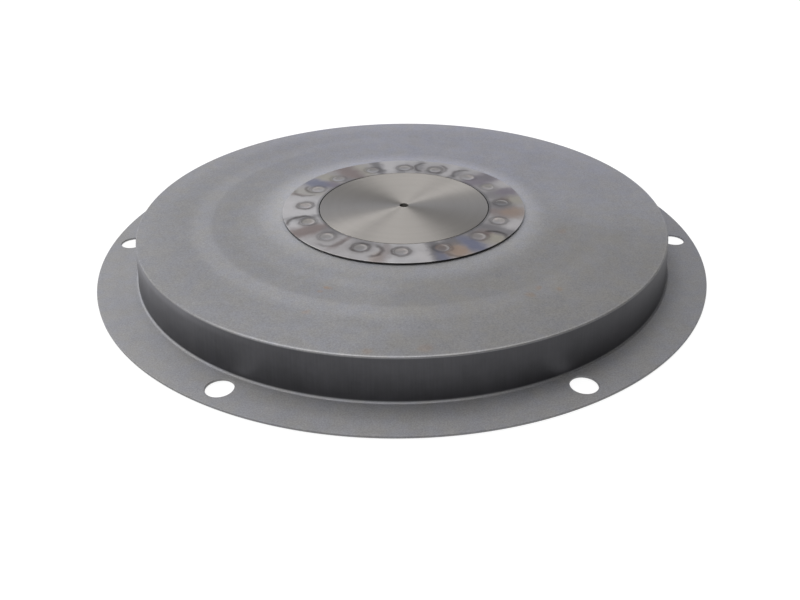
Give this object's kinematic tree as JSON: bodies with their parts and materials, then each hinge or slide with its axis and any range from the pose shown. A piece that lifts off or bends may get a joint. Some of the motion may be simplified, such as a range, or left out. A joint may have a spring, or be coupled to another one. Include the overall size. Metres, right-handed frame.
{
  "type": "clutch pressure plate",
  "caption": "Dished pressed-steel clutch plate with a bolt flange, a spot-welded ring and a turned hub face in its closed centre.",
  "frame": {"origin": "centre of the bolt flange's underside, on the plate's axis", "axes": "+Z along the plate's axis, out of the dish towards the turned hub face; a bolt hole lies on +X"},
  "size_m": [0.2616, 0.2616, 0.0188],
  "materials": {
    "pressed_steel": "bare cold-rolled steel, dull, with faint drawing bands",
    "ring_steel": "bare steel with straw, brown and blue heat tint round the welds",
    "turned_steel": "fine lathe-turned face",
    "weld_steel": "pale electrode dimples with dark rims"
  },
  "bodies": {
    "root": {"pressed_pan": "pressed_steel", "weld_ring": "ring_steel", "turned_hub": "turned_steel", "spot_weld_01": "weld_steel", "spot_weld_02": "weld_steel", "spot_weld_03": "weld_steel", "spot_weld_04": "weld_steel", "spot_weld_05": "weld_steel", "spot_weld_06": "weld_steel", "spot_weld_07": "weld_steel", "spot_weld_08": "weld_steel", "spot_weld_09": "weld_steel", "spot_weld_10": "weld_steel", "spot_weld_11": "weld_steel", "spot_weld_12": "weld_steel", "spot_weld_13": "weld_steel", "spot_weld_14": "weld_steel", "spot_weld_15": "weld_steel", "spot_weld_16": "weld_steel"}
  },
  "joints": []
}
